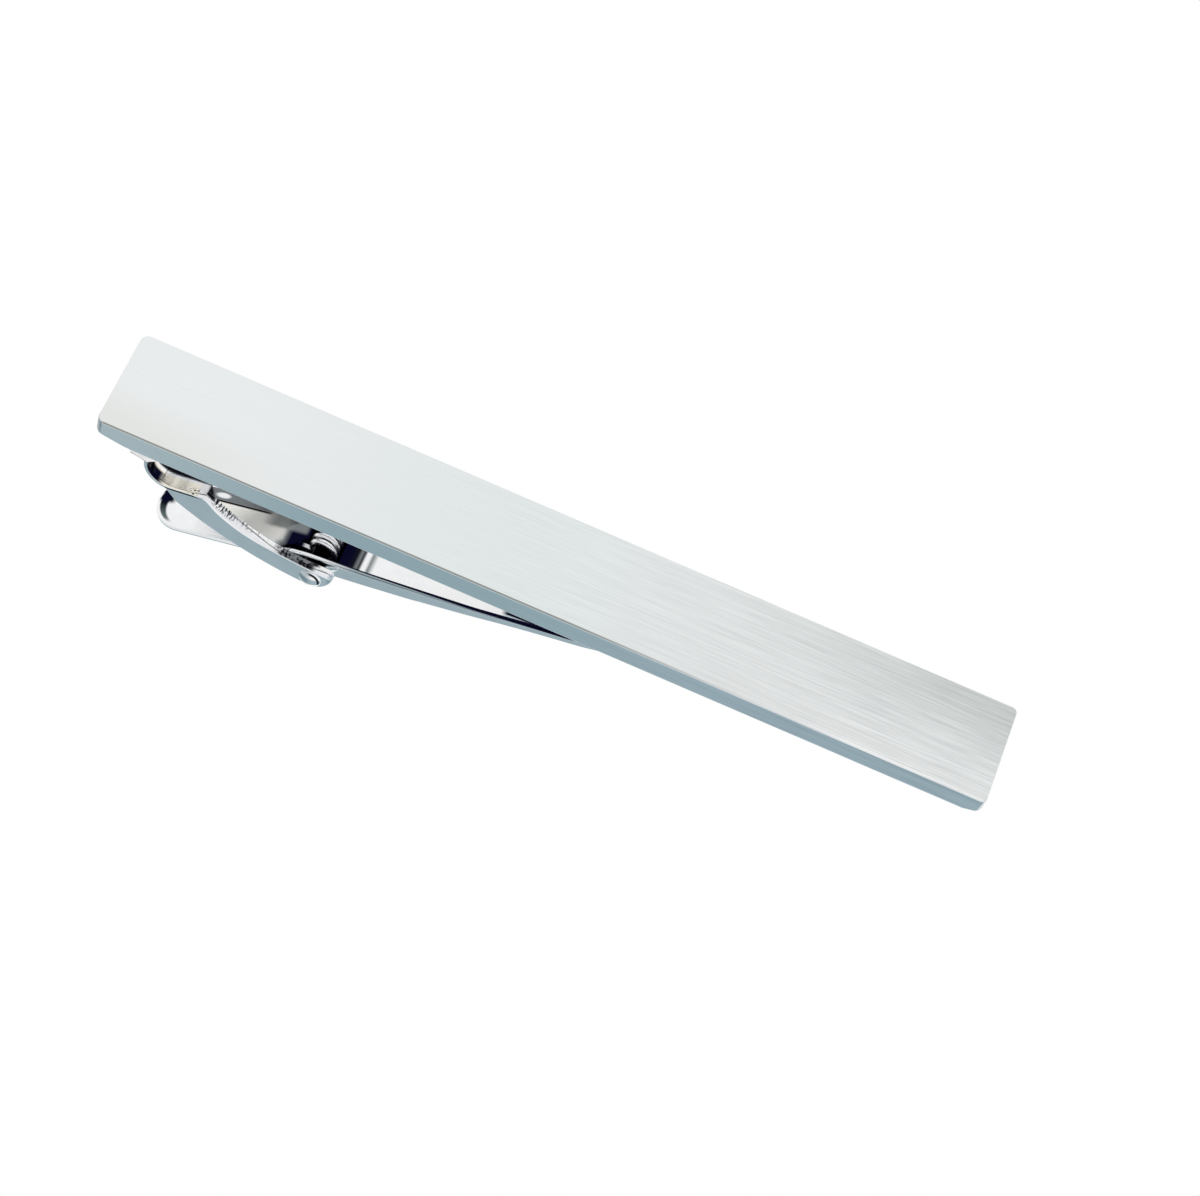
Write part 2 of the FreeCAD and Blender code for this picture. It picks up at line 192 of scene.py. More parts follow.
FINE_LINES, BROAD_LINES, BROAD_SHARE = (220.0, 8000.0, 8000.0), (18.0, 1900.0, 1900.0), 0.25
BRUSHED_RUN, BRUSHED_CRISPNESS = (18.0, 54.0), (0.08, 1.0)
LINE_SPAN, LINE_SHADE = (0.35, 0.65), (0.86, 1.08)
RELIEF_SPAN, BRUSHED_GLOSS = (0.0, 0.7), (0.27, 0.31)
BRUSHED_STRETCH, BRUSHED_RELIEF, RELIEF_DEPTH = 0.6, 0.015, 0.00001


def measured(tree):
    """The shaded point's reach, across, depth and out, in millimetres. Out is its
    distance to either side of the mid-plane."""
    sockets = add_node(tree, "ShaderNodeGroup", node_tree=measures).outputs
    return {socket.name.lower(): socket for socket in sockets}


measures = bpy.data.node_groups.new("clip_measures", "ShaderNodeTree")
for name in ("Reach", "Across", "Depth", "Out"):
    measures.interface.new_socket(name, in_out="OUTPUT", socket_type="NodeSocketFloat")
place = add_node(measures, "ShaderNodeTexCoord").outputs["Object"]
place = add_node(measures, "ShaderNodeVectorMath", {0: place}, {
    1: (1 / MM, 1 / MM, -1 / MM), 2: (BAR_LENGTH / 2, 0.0, -BAR_THICKNESS)},
    operation="MULTIPLY_ADD").outputs[0]
place = add_node(measures, "ShaderNodeSeparateXYZ", {0: place}).outputs
either_side = add_node(measures, "ShaderNodeMath", {0: place["Y"]}, operation="ABSOLUTE")
add_node(measures, "NodeGroupOutput", {
    "Reach": place["X"], "Across": place["Y"], "Depth": place["Z"], "Out": either_side.outputs[0]})


def loft(rings):
    """Points and faces of a skin over rings of equal counts, closed at both ends."""
    count = len(rings[0])
    points = [point for ring in rings for point in ring]
    faces = []
    for row in range(len(rings) - 1):
        for column in range(count):
            after = (column + 1) % count
            faces.append((row * count + column, row * count + after,
                          (row + 1) * count + after, (row + 1) * count + column))
    faces.append(tuple(range(count)))
    faces.append(tuple(range(len(points) - count, len(points))))
    return points, faces


def new_piece(name, points, faces):
    """An object from points in millimetres, with its faces turned outwards."""
    mesh = bpy.data.meshes.new(name)
    mesh.from_pydata([Vector(point) * MM for point in points], [], faces)
    shell = bmesh.new()
    shell.from_mesh(mesh)
    bmesh.ops.remove_doubles(shell, verts=shell.verts, dist=MERGE)
    bmesh.ops.recalc_face_normals(shell, faces=shell.faces)
    shell.to_mesh(mesh)
    shell.free()
    mesh.shade_smooth()
    piece = bpy.data.objects.new(name, mesh)
    scene.collection.objects.link(piece)
    return piece


def quarter(steps):
    """The angles of a quarter turn, both ends included."""
    return [math.radians(90 * step / steps) for step in range(steps + 1)]


def eased(share):
    """A smooth rise from 0 to 1."""
    share = min(max(share, 0.0), 1.0)
    return share * share * (3 - 2 * share)


def between(first, second, share):
    """A size that goes over smoothly from one to another."""
    return first + (second - first) * eased(share)


def spread(start, stop, count):
    """Even steps from start towards stop, without the last."""
    return [start + (stop - start) * step / count for step in range(count)]


def inward(outline):
    """At each point of an outline, the move that draws its two edges in by one unit."""
    moves = []
    for index, point in enumerate(outline):
        before = (Vector(point) - Vector(outline[index - 1])).normalized()
        after = (Vector(outline[(index + 1) % len(outline)]) - Vector(point)).normalized()
        first, second = Vector((-before.y, before.x)), Vector((-after.y, after.x))
        moves.append((first + second) / max(1 + first.dot(second), LEAST_MITRE))
    return moves


def rounded_rings(outline, near, far, near_rolls, far_rolls):
    """Rings over a plate's outline whose edges are rounded, on each side by a radius
    for every point. The middle one of each point's three values runs near to far."""
    moves = inward(outline)
    rings = []
    for level, way, rolls, turns in ((near, 1, near_rolls, quarter(ROLL_STEPS)),
                                     (far, -1, far_rolls, quarter(ROLL_STEPS)[::-1])):
        for turn in turns:
            lift, inset = way * (1 - math.cos(turn)), 1 - math.sin(turn)
            rings.append([
                (u + move.x * roll * inset, level + roll * lift, v + move.y * roll * inset)
                for (u, v), move, roll in zip(outline, moves, rolls)])
    return rings


def finished(piece):
    """Makes a piece's modifiers part of its mesh."""
    graph = bpy.context.evaluated_depsgraph_get()
    mesh = bpy.data.meshes.new_from_object(piece.evaluated_get(graph))
    piece.modifiers.clear()
    piece.data = mesh


def flat_shaded(piece, keep_sharp=False):
    """Takes a piece's shading from its large faces."""
    flats = piece.modifiers.new("flats", "WEIGHTED_NORMAL")
    flats.keep_sharp = keep_sharp
    flats.weight = FLAT_WEIGHT
    finished(piece)


bar_outline = []
tip_run, hinge_run = BAR_LENGTH / 2 - TIP_CORNER, HINGE_CORNER - BAR_LENGTH / 2
for corner, (sx, sy) in enumerate(((1, 1), (-1, 1), (-1, -1), (1, -1))):
    radius = TIP_CORNER if sx > 0 else HINGE_CORNER
    for step in range(BAR_CORNER_STEPS + 1):
        angle = math.radians(90 * (corner + step / BAR_CORNER_STEPS))
        bar_outline.append((sx * (BAR_LENGTH / 2 - radius) + radius * math.cos(angle),
                            sy * (BAR_WIDTH / 2 - radius) + radius * math.sin(angle)))
    if corner == 0:
        bar_outline += [(x, BAR_WIDTH / 2) for x in spread(tip_run, hinge_run, BAR_SIDE_STEPS)[1:]]
    if corner == 2:
        bar_outline += [(x, -BAR_WIDTH / 2) for x in spread(hinge_run, tip_run, BAR_SIDE_STEPS)[1:]]
back_rolls = []
for x, y in bar_outline:
    soft_end = TIP_SOFT_END if x > 0 else HINGE_SOFT_END
    from_end = (BAR_LENGTH / 2 - abs(x)) / soft_end
    back_rolls.append(between(BAR_BACK_CORNER, BAR_BACK_EDGE, from_end))
front_rolls = [BAR_FRONT_EDGE] * len(bar_outline)
bar_rings = rounded_rings(bar_outline, -BAR_THICKNESS, 0.0, back_rolls, front_rolls)
front_bar = new_piece("front_bar_visual", *loft(
    [[(x, y, z) for x, z, y in ring] for ring in bar_rings]))
flat_shaded(front_bar)


def ranged(tree, source, given, wanted):
    """A value taken from one range to another."""
    return add_node(tree, "ShaderNodeMapRange", {"Value": source}, {
        "From Min": given[0], "From Max": given[1],
        "To Min": wanted[0], "To Max": wanted[1]}).outputs["Result"]


def noise(tree, stretch, detail=2.0, roughness=0.5):
    """Soft random values, with a number of spots to the metre along each axis."""
    place = add_node(tree, "ShaderNodeTexCoord").outputs["Object"]
    place = add_node(tree, "ShaderNodeMapping", {"Vector": place}, {"Scale": stretch}).outputs[0]
    return add_node(tree, "ShaderNodeTexNoise", {"Vector": place},
                    {"Scale": 1.0, "Detail": detail, "Roughness": roughness}).outputs[0]


def graded(tree, source, stops):
    """A colour that follows a value through stops of value and colour."""
    low, high = stops[0][0], stops[-1][0]
    share = ranged(tree, source, (low, high), (0.0, 1.0))
    node = add_node(tree, "ShaderNodeValToRGB", {"Fac": share})
    marks = node.color_ramp.elements
    while len(marks) < len(stops):
        marks.new(1.0)
    for mark, (value, colour) in zip(marks, stops):
        mark.position = (value - low) / (high - low)
        mark.color = colour + (1.0,)
    return node.outputs["Color"]


def painted(tree, tone, where, layers):
    """A tone with others laid over it in turn, each inside its own zone."""
    for colour, ends in layers:
        tone = mixed(tree, zone(tree, where, **ends), tone, colour)
    return tone


def shaded(tree, tone, share):
    """A tone made paler or deeper by a value."""
    return add_node(tree, "ShaderNodeVectorMath", {0: tone, 1: share},
                    operation="MULTIPLY").outputs[0]


brushed = bpy.data.materials.new("brushed_plate")
brushed.use_nodes = True
tree = brushed.node_tree
bar_shader = tree.nodes["Principled BSDF"]
bar_shader.inputs["Metallic"].default_value = 1.0
bar_shader.inputs["Anisotropic"].default_value = BRUSHED_STRETCH
where = measured(tree)
# The near wall's painted reflection: paler at the hinge end, deeper towards the middle and bluer at the
# tip end.
side_reflection = graded(tree, where["reach"], [
    (0.0, SIDE_PALE), (3.0, SIDE_PALE), (15.0, SIDE_DEEP), (26.0, SIDE_DEEP), (36.0, SIDE_BLUE)])
plate_tone = painted(tree, BAR_COOL, where, [
    # Painted reflection: the face is paler towards the hinge end and warmer near its near edge there.
    # Painted shade darkens it towards the far side of the tip end.
    (BAR_PALE_REFLECTION, dict(reach=(26.0, 4.0))),
    (BAR_TIP, dict(reach=(28.0, 42.0))),
    (BAR_WARM_REFLECTION, dict(across=(0.0, -3.4), reach=(16.0, 2.0))),
    (BAR_DIM_SHADE, dict(across=(-3.0, 3.6), reach=(36.0, 62.0))),
    (side_reflection, dict(across=(-3.5, -3.58), depth=(-1.5, -1.42))),
    # A painted shade line along the rounding between the face and the near wall, fading out towards the
    # tip.
    (BAR_EDGE_SHADE, dict(across=(-3.49, -3.53), depth=(-1.48, -1.52), reach=(-0.2, 0.6, 30.0, 44.0))),
    # Painted shade on the front edge's rounding at the near corner of the hinge end.
    (BAR_CORNER_SHADE, dict(reach=(0.5, 0.25), across=(-2.7, -3.1), depth=(-1.56, -1.5))),
    # Painted highlight along the near front edge towards the tip.
    (BAR_RIM_HIGHLIGHT, dict(across=(-3.42, -3.48), reach=(42.0, 50.0), depth=(-1.45, -1.5))),
    (BAR_BACK, dict(depth=(-0.1, -0.05)))])
fine = noise(tree, FINE_LINES)
lines = add_node(tree, "ShaderNodeMix", {"A": fine, "B": noise(tree, BROAD_LINES, detail=3.0)},
                 {"Factor": BROAD_SHARE}).outputs["Result"]
crispness = ranged(tree, where["reach"], BRUSHED_RUN, BRUSHED_CRISPNESS)
streak = add_node(tree, "ShaderNodeMix", {
    "Factor": crispness, "B": ranged(tree, lines, LINE_SPAN, LINE_SHADE)},
    {"A": 1.0}).outputs["Result"]
tree.links.new(shaded(tree, plate_tone, streak), bar_shader.inputs["Base Color"])
relief = times(tree, fine, crispness)
polish = ranged(tree, relief, RELIEF_SPAN, BRUSHED_GLOSS)
tree.links.new(polish, bar_shader.inputs["Roughness"])
scratch = add_node(tree, "ShaderNodeBump", {"Height": relief},
                   {"Strength": BRUSHED_RELIEF, "Distance": RELIEF_DEPTH})
tree.links.new(scratch.outputs[0], bar_shader.inputs["Normal"])
along = add_node(tree, "ShaderNodeCombineXYZ", values={"X": 1.0})
tree.links.new(along.outputs[0], bar_shader.inputs["Tangent"])
front_bar.data.materials.append(brushed)
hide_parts("front_bar")
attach(front_bar, "bar")

# The bracket is one stamped and folded strip, brightly plated: a foot on the bar's
# back, a U-bend, a short web, and two arms folded down from it that end in ears.
STRAP_SHEET, ARM_SHEET, BRACKET_WIDTH = 0.4, 0.6, 5.7
BEND_REACH, BEND_RADIUS, WEB_TILT = 4.98, 1.83, math.radians(11)
FOOT_REACH, FORK_REACH, CHEEK_REACH = 9.4, 7.4, 4.75
ARM_START = (5.65, 4.5)
EAR_LOW, EAR_END, EAR_TOP, EAR_NECK = (14.95, 7.33), (16.3, 6.0), (15.75, 5.6), (14.45, 5.6)
ARM_LOWER_RADIUS, ARM_UPPER_RADIUS = 22.0, 13.0
EAR_LOWER_RADIUS, EAR_UPPER_RADIUS = 1.35, 0.5
SHEARED_EDGE, BEND_EDGE, HOLLOW_EDGE, BURIED_EDGE = 0.07, 0.13, 0.22, 0.01
FORK_ROLL, ARM_ROLL, NECK_ROLL, EAR_ROLL = 0.3, 0.55, 0.14, 0.28
WEB_ROLL_RUN, FORK_ROLL_RUN, ARM_ROLL_RUN, ARM_ROLL_END = 1.0, 1.2, 4.0, 13.4
FOOT_BEND_STEPS, WEB_BEND_STEPS, FORK_STEPS, HOLLOW_STEPS = 24, 26, 12, 10
ARM_LOWER_STEPS, ARM_UPPER_STEPS = 24, 48
EAR_LOWER_STEPS, EAR_UPPER_STEPS, EAR_TOP_STEPS = 20, 16, 10
SHARP_TURN = math.radians(40)
# PLATING is the metal's own tone, and BRIGHT is a paler plating that also serves as painted highlight.
# The cream, navy, black, grey and blue tones are painted reflection and shade.
PLATING = (0.9, 0.915, 0.92)
BRIGHT = (0.97, 0.97, 0.98)
CREAM_REFLECTION = (1.0, 0.93, 0.8)
NAVY_SHADE = (0.003, 0.003, 0.018)
BLACK_SHADE = (0.008, 0.009, 0.014)
GREY_SHADE = (0.2, 0.215, 0.225)
BLUE_REFLECTION = (0.5, 0.58, 0.63)
CLOUDS, GRAIN, CLOUD_ROUGHNESS = (900.0,) * 3, (7000.0,) * 3, 0.6
CLOUD_SPAN, CLOUD_SHADE, CLOUD_GLOSS = (0.3, 0.7), (0.96, 1.02), (0.05, 0.11)
PLATING_RELIEF = 0.05
SHADE_SPECKS, SHADE_MOTTLE, SPECK_ROUGHNESS = (9000.0,) * 3, (4000.0,) * 3, 0.6
TICKS, TEETH = (7000.0, 900.0, 7000.0), (9000.0, 700.0, 9000.0)
ARM_FALL, WEB_DULLNESS, FAR_DULLNESS = 0.31, 0.1, 0.9


def spot(reach, depth):
    """X and Z of a point from its reach along the bar and depth behind its back."""
    return reach - BAR_LENGTH / 2, -BAR_THICKNESS - depth


def arc(start, stop, radius, side, steps):
    """Points of an arc, its centre left (1) or right (-1) of travel, without the last."""
    start, stop = Vector(start), Vector(stop)
    chord = stop - start
    rise = math.sqrt(max(radius ** 2 - chord.length_squared / 4, 0.0))
    centre = (start + stop) / 2 + Vector((-chord.y, chord.x)).normalized() * rise * side
    first = math.atan2(*(start - centre).yx)
    turn = (math.atan2(*(stop - centre).yx) - first) * side % math.tau * side
    angles = [first + turn * step / steps for step in range(steps)]
    return [tuple(centre + radius * Vector((math.cos(a), math.sin(a)))) for a in angles]


def rounded_plate(name, *shape):
    """A plate in X and Z with rounded edges, its thickness along Y."""
    return new_piece(name, *loft(rounded_rings(*shape)))


def joined(piece, other, operation):
    """Adds another piece to a piece, or cuts it out."""
    change = piece.modifiers.new("join", "BOOLEAN")
    change.operation = operation
    change.solver = "EXACT"
    change.object = other
    finished(piece)
    bpy.data.objects.remove(other)


bend_inner = BEND_RADIUS - STRAP_SHEET
sine, cosine, slope = math.sin(WEB_TILT), math.cos(WEB_TILT), math.tan(WEB_TILT)
outer_end = (BEND_REACH + BEND_RADIUS * sine, BEND_RADIUS * (1 + cosine))
inner_end = (BEND_REACH + bend_inner * sine, BEND_RADIUS + bend_inner * cosine)
fork_low = outer_end[1] - (FORK_REACH - outer_end[0]) * slope
fork_high = fork_low - STRAP_SHEET / cosine
outer_left = spot(BEND_REACH - BEND_RADIUS, BEND_RADIUS)
inner_left = spot(BEND_REACH - bend_inner, BEND_RADIUS)
strap_outline = [spot(FOOT_REACH, 0.0)]
strap_outline += arc(spot(BEND_REACH, 0.0), outer_left, BEND_RADIUS, 1, FOOT_BEND_STEPS)
strap_outline += arc(outer_left, spot(*outer_end), BEND_RADIUS, 1, WEB_BEND_STEPS)
strap_outline += [spot(*outer_end), spot(FORK_REACH, fork_low)]
strap_rolls = [BEND_EDGE] * len(strap_outline)
for reach in spread(FORK_REACH, inner_end[0], FORK_STEPS):
    strap_outline.append(spot(reach, fork_high + (FORK_REACH - reach) * slope))
    strap_rolls.append(between(BEND_EDGE, FORK_ROLL, (reach - FORK_REACH) / WEB_ROLL_RUN + 1))
strap_outline += arc(spot(*inner_end), inner_left, bend_inner, -1, WEB_BEND_STEPS)
strap_outline += arc(inner_left, spot(BEND_REACH, STRAP_SHEET), bend_inner, -1, FOOT_BEND_STEPS)
bend_steps = WEB_BEND_STEPS + FOOT_BEND_STEPS
strap_rolls += [between(BEND_EDGE, HOLLOW_EDGE, min(step, bend_steps - step) / HOLLOW_STEPS)
                for step in range(bend_steps)]
strap_outline += [spot(BEND_REACH, STRAP_SHEET), spot(FOOT_REACH, STRAP_SHEET)]
strap_rolls += [BEND_EDGE, SHEARED_EDGE]
half_bracket = BRACKET_WIDTH / 2
bracket = rounded_plate("clasp_bracket_visual", strap_outline, -half_bracket, half_bracket,
                        strap_rolls, strap_rolls)
web_middle = (fork_low + fork_high) / 2
arm_outline = [spot(CHEEK_REACH, outer_end[1] - STRAP_SHEET / 2)]
arm_outline += arc(spot(*ARM_START), spot(*EAR_LOW), ARM_LOWER_RADIUS, 1, ARM_LOWER_STEPS)
arm_rolls = [BURIED_EDGE] + [SHEARED_EDGE] * ARM_LOWER_STEPS
arm_outline += arc(spot(*EAR_LOW), spot(*EAR_END), EAR_LOWER_RADIUS, 1, EAR_LOWER_STEPS)
arm_rolls += [between(SHEARED_EDGE, EAR_ROLL, share) for share in spread(0.0, 1.0, EAR_LOWER_STEPS)]
arm_outline += arc(spot(*EAR_END), spot(*EAR_TOP), EAR_UPPER_RADIUS, 1, EAR_UPPER_STEPS)
arm_rolls += [EAR_ROLL] * EAR_UPPER_STEPS
arm_outline += [spot(reach, EAR_TOP[1]) for reach in spread(EAR_TOP[0], EAR_NECK[0], EAR_TOP_STEPS)]
arm_rolls += [between(EAR_ROLL, NECK_ROLL, share) for share in spread(0.0, 1.0, EAR_TOP_STEPS)]
fork_corner = spot(FORK_REACH, fork_high)
for x, z in arc(spot(*EAR_NECK), fork_corner, ARM_UPPER_RADIUS, -1, ARM_UPPER_STEPS):
    reach = x + BAR_LENGTH / 2
    roll = between(NECK_ROLL, ARM_ROLL, (ARM_ROLL_END - reach) / ARM_ROLL_RUN)
    arm_outline.append((x, z))
    arm_rolls.append(between(FORK_ROLL, roll, (reach - FORK_REACH) / FORK_ROLL_RUN))
arm_outline += [fork_corner, spot(FORK_REACH - STRAP_SHEET / 2, web_middle)]
arm_rolls += [FORK_ROLL, BURIED_EDGE]
inner_rolls = [SHEARED_EDGE] * len(arm_outline)
arm_face = half_bracket - ARM_SHEET
for near, far, sides in ((-half_bracket, -arm_face, (arm_rolls, inner_rolls)),
                         (arm_face, half_bracket, (inner_rolls, arm_rolls))):
    joined(bracket, rounded_plate("arm", arm_outline, near, far, *sides), "UNION")
bracket.data.set_sharp_from_angle(angle=SHARP_TURN)
flat_shaded(bracket, keep_sharp=True)


def added(tree, base, rate, source):
    """A value with a share of another added to it."""
    return add_node(tree, "ShaderNodeMath", {0: source, 2: base}, {1: rate},
                    operation="MULTIPLY_ADD").outputs[0]


plated = bpy.data.node_groups.new("plated_finish", "ShaderNodeTree")
for name, kind in (("Tone", "NodeSocketColor"), ("Dullness", "NodeSocketFloat")):
    plated.interface.new_socket(name, in_out="INPUT", socket_type=kind)
for name, kind in (("Color", "NodeSocketColor"), ("Roughness", "NodeSocketFloat"),
                   ("Height", "NodeSocketFloat")):
    plated.interface.new_socket(name, in_out="OUTPUT", socket_type=kind)
given = add_node(plated, "NodeGroupInput").outputs
cloud = noise(plated, CLOUDS, detail=3.0, roughness=CLOUD_ROUGHNESS)
gloss = ranged(plated, cloud, CLOUD_SPAN, CLOUD_GLOSS)
add_node(plated, "NodeGroupOutput", {
    "Color": shaded(plated, given["Tone"], ranged(plated, cloud, CLOUD_SPAN, CLOUD_SHADE)),
    "Roughness": added(plated, given["Dullness"], 1.0, gloss),
    "Height": noise(plated, GRAIN)})


def plated_metal(name):
    """A bright plated material on the shared finish, with its tree, finish and measures."""
    material = bpy.data.materials.new(name)
    material.use_nodes = True
    tree = material.node_tree
    shader = tree.nodes["Principled BSDF"]
    shader.inputs["Metallic"].default_value = 1.0
    finish = add_node(tree, "ShaderNodeGroup", values={"Tone": PLATING + (1.0,)}, node_tree=plated)
    bump = add_node(tree, "ShaderNodeBump", {"Height": finish.outputs["Height"]},
                    {"Strength": PLATING_RELIEF, "Distance": RELIEF_DEPTH})
    tree.links.new(finish.outputs["Color"], shader.inputs["Base Color"])
    tree.links.new(finish.outputs["Roughness"], shader.inputs["Roughness"])
    tree.links.new(bump.outputs[0], shader.inputs["Normal"])
    return material, tree, finish, measured(tree)


def apart(tree, first, second, centre, scale=(1.0, 1.0)):
    """Distance of two measures from a centre, each divided by its own scale."""
    offset = add_node(tree, "ShaderNodeCombineXYZ", {"X": first, "Y": second}).outputs[0]
    for operation, pair in (("SUBTRACT", centre + (0.0,)), ("DIVIDE", scale + (1.0,))):
        offset = add_node(tree, "ShaderNodeVectorMath", {0: offset}, {1: pair},
                          operation=operation).outputs[0]
    return add_node(tree, "ShaderNodeVectorMath", {0: offset}, operation="LENGTH").outputs["Value"]


bracket_metal, tree, finish, where = plated_metal("bracket_plating")
where["web_lean"] = added(tree, where["depth"], slope, where["reach"])
where["arm_lean"] = added(tree, where["depth"], -ARM_FALL, where["reach"])
where["off_bend"] = apart(tree, where["reach"], where["depth"], (BEND_REACH, BEND_RADIUS))
# The specks and mottle break up painted shade, and the ticks and teeth break up the sheared edge's
# painted reflection.
for name, stretch in (("shade_specks", SHADE_SPECKS), ("ticks", TICKS), ("teeth", TEETH), ("shade_mottle", SHADE_MOTTLE)):
    where[name] = noise(tree, stretch, roughness=SPECK_ROUGHNESS)
# The web is painted with reflection across its width: cream at its near side, then bright, grey and
# black bands where it would mirror the bar's underside. A bright highlight is painted near the fork,
# and black shade specks near the arm's root.
web_reflection = graded(tree, where["across"], [
    (-2.85, CREAM_REFLECTION), (-2.05, CREAM_REFLECTION), (-1.97, BRIGHT), (-1.88, BRIGHT), (-1.8, GREY_SHADE),
    (-1.72, BLACK_SHADE), (-1.3, BLACK_SHADE), (-1.1, GREY_SHADE), (-0.9, BRIGHT)])
web_reflection = painted(tree, web_reflection, where, [
    (BRIGHT, dict(reach=(6.75, 7.0), across=(-1.8, -1.95))),
    (BLACK_SHADE, dict(shade_specks=(0.55, 0.62), reach=(6.1, 6.5, 6.8, 7.0), across=(-2.2, -2.5)))])
# The arm's sheared edge is painted with reflection: bright towards the fork, grey and black where it
# would mirror the bar's underside near the ear, then bright at the ear. Grey ticks and black teeth
# break it up; black shade is painted at the fork and mottled in before the ear.
edge_reflection = graded(tree, where["reach"], [
    (7.3, BRIGHT), (12.2, BRIGHT), (13.0, GREY_SHADE),
    (14.5, GREY_SHADE), (14.95, BLACK_SHADE), (15.1, BLACK_SHADE), (15.4, BRIGHT), (16.3, BRIGHT)])
edge_reflection = painted(tree, edge_reflection, where, [
    (GREY_SHADE, dict(ticks=(0.56, 0.64), reach=(7.6, 7.9, 11.2, 12.0), across=(-2.7, -2.4))),
    (BLACK_SHADE, dict(teeth=(0.5, 0.56), reach=(7.7, 7.9, 9.0, 9.8), across=(-2.78, -2.62))),
    (BLACK_SHADE, dict(reach=(8.1, 7.8), out=(2.62, 2.52))),
    (BLACK_SHADE, dict(shade_mottle=(0.45, 0.58), reach=(12.0, 12.8, 14.6, 15.0)))])
# The ear's rounded end is painted with reflection: a bright highlight, then blue-grey towards its end.
ear_reflection = graded(tree, where["reach"], [
    (14.8, PLATING), (15.5, BRIGHT), (15.9, BRIGHT), (16.15, BLUE_REFLECTION)])
web_line = inner_end[1] + inner_end[0] * slope
on_web = dict(web_lean=(web_line + 0.12, web_line + 0.06), depth=(2.0, 2.4), reach=(4.5, 4.9))
in_bend = dict(off_bend=(bend_inner + 0.16, bend_inner + 0.1), depth=(1.0, 1.4))
far_arm = dict(across=(2.0, 2.2))
fork_end = dict(reach=(FORK_REACH - 0.04, FORK_REACH - 0.01), depth=(2.0, 2.4, 3.3, 3.4))
on_arm = dict(reach=(FORK_REACH - 0.05, FORK_REACH), depth=(1.0, 1.4), arm_lean=(2.15, 1.85))
sheared = (arm_face, arm_face + 0.05, half_bracket - 0.05, half_bracket - 0.01)
tone = painted(tree, PLATING, where, [
    (BRIGHT, dict(depth=(0.7, 0.5), reach=(4.6, 5.0))),
    (BRIGHT, far_arm),
    (web_reflection, on_web),
    (web_reflection, dict(in_bend, reach=(5.0, 4.8))),
    # Painted navy shade in the U-bend's hollow, at its near side.
    (NAVY_SHADE, dict(in_bend, reach=(4.75, 4.2), across=(-2.05, -2.25))),
    # The web's cut end between the arms is painted black, as shade.
    (BLACK_SHADE, dict(fork_end, out=(2.7, 2.55))),
    (edge_reflection, dict(on_arm, out=sheared)),
    (ear_reflection, dict(reach=(14.8, 15.2), out=(2.4, 2.55)))])
tree.links.new(tone, finish.inputs["Tone"])
dull = ranged(tree, zone(tree, where, **far_arm), (0.0, 1.0), (0.0, FAR_DULLNESS))
dull = added(tree, dull, WEB_DULLNESS, zone(tree, where, **on_web))
tree.links.new(dull, finish.inputs["Dullness"])
bracket.data.materials.clear()
bracket.data.materials.append(bracket_metal)
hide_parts("clasp_bracket")
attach(bracket, "bar")

# The braze is bright filler metal drawn into the crevice between the U-bend and the
# bar, with a thin fillet that runs round the rest of the foot.
BRAZE_REACH, BRAZE_SPREAD, BRAZE_RISE = 2.0, 0.65, 0.2
BRAZE_TOE, BRAZE_FALL = (2.45, 0.4), -0.278
BRAZE_TOP_TURN = math.radians(52)
BRAZE_BACK_RADIUS, BRAZE_TOE_RADIUS = 4.0, 0.5
BRAZE_STEPS, BRAZE_TOE_STEPS = 12, 8
FILLET_SECTION = [(0.0, 0.0), (0.0, 1.0), (0.2, 0.5), (0.5, 0.2), (1.0, 0.0)]


def plate(name, outline, near, far):
    """A flat outline in X and Z, given thickness from one Y to another."""
    return new_piece(name, *loft([[(x, y, z) for x, z in outline] for y in (near, far)]))


braze_top = spot(BEND_REACH - BEND_RADIUS * math.sin(BRAZE_TOP_TURN),
                 BEND_RADIUS * (1 - math.cos(BRAZE_TOP_TURN)))
braze_end = spot(BRAZE_REACH, 0.0)
crevice = arc(spot(BEND_REACH, 0.0), braze_top, BEND_RADIUS, 1, BRAZE_STEPS)
crevice += arc(braze_top, spot(*BRAZE_TOE), BRAZE_BACK_RADIUS, 1, BRAZE_STEPS)
crevice += arc(spot(*BRAZE_TOE), braze_end, BRAZE_TOE_RADIUS, 1, BRAZE_TOE_STEPS) + [braze_end]
half_braze = half_bracket + BRAZE_SPREAD
braze = plate("braze_seam_visual", crevice, -half_braze, half_braze)
fillet_rings = []
for reach, y, sx, sy in ((BEND_REACH, -half_bracket, 0, -1), (FOOT_REACH, -half_bracket, 1, -1),
                         (FOOT_REACH, half_bracket, 1, 1), (BEND_REACH, half_bracket, 0, 1)):
    x = reach - BAR_LENGTH / 2
    fillet_rings.append([
        (x + sx * wide * BRAZE_SPREAD, y + sy * wide * BRAZE_SPREAD, -BAR_THICKNESS - high * BRAZE_RISE)
        for wide, high in FILLET_SECTION])
joined(braze, new_piece("fillet", *loft(fillet_rings)), "UNION")
braze_metal, tree, finish, where = plated_metal("braze_metal")
where["toe_lean"] = added(tree, where["depth"], BRAZE_FALL, where["reach"])
toe_line = BRAZE_TOE[1] + BRAZE_TOE[0] * BRAZE_FALL
# Painted grey shade along the lower edge of the braze's sides.
lower_edge_shade = zone(tree, where, toe_lean=(toe_line - 0.14, toe_line - 0.04),
             out=(half_braze - 0.12, half_braze - 0.06))
tree.links.new(mixed(tree, lower_edge_shade, BRIGHT, GREY_SHADE), finish.inputs["Tone"])
braze.data.materials.clear()
braze.data.materials.append(braze_metal)
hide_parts("braze_seam")
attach(braze, "bar")

